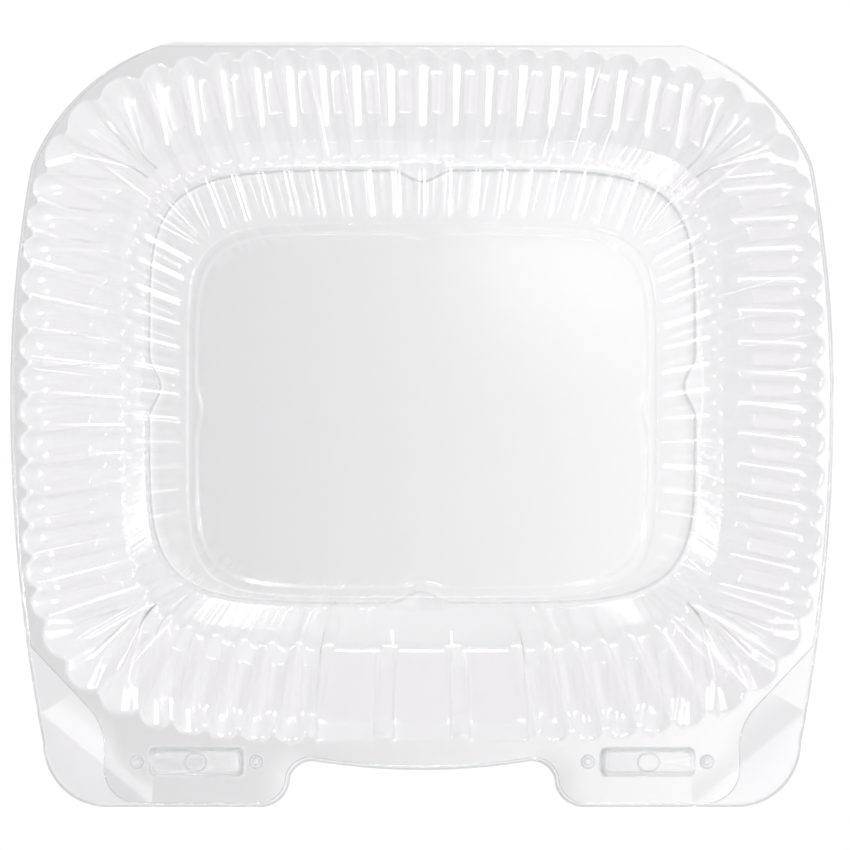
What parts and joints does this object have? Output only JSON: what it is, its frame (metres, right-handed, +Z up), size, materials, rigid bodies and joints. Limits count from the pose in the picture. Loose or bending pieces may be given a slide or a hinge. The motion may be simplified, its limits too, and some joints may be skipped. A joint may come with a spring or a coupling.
{
  "type": "hinged plastic clamshell pack",
  "caption": "Clear square food clamshell: a fluted tray and a fluted domed lid that folds on its back edge and snaps shut at two front tabs.",
  "frame": {"origin": "bottom centre of the shut pack's bounding box, on the surface that it stands on", "axes": "+X across the pack, along its folding back edge; +Y from the front tabs to the folding back edge; +Z up"},
  "size_m": [0.2358, 0.2192, 0.0733],
  "materials": {
    "clear_sheet": "clear and glossy, with a faint cool grey tint"
  },
  "bodies": {
    "base": {"tray": "clear_sheet"},
    "lid": {"lid": "clear_sheet"}
  },
  "joints": [
    {"name": "lid_hinge", "type": "hinge", "parent": "base", "child": "lid", "pos_m": [0, 0.109, 0.03815], "axis": [-1, 0, 0], "range_deg": [0, 180]}
  ]
}
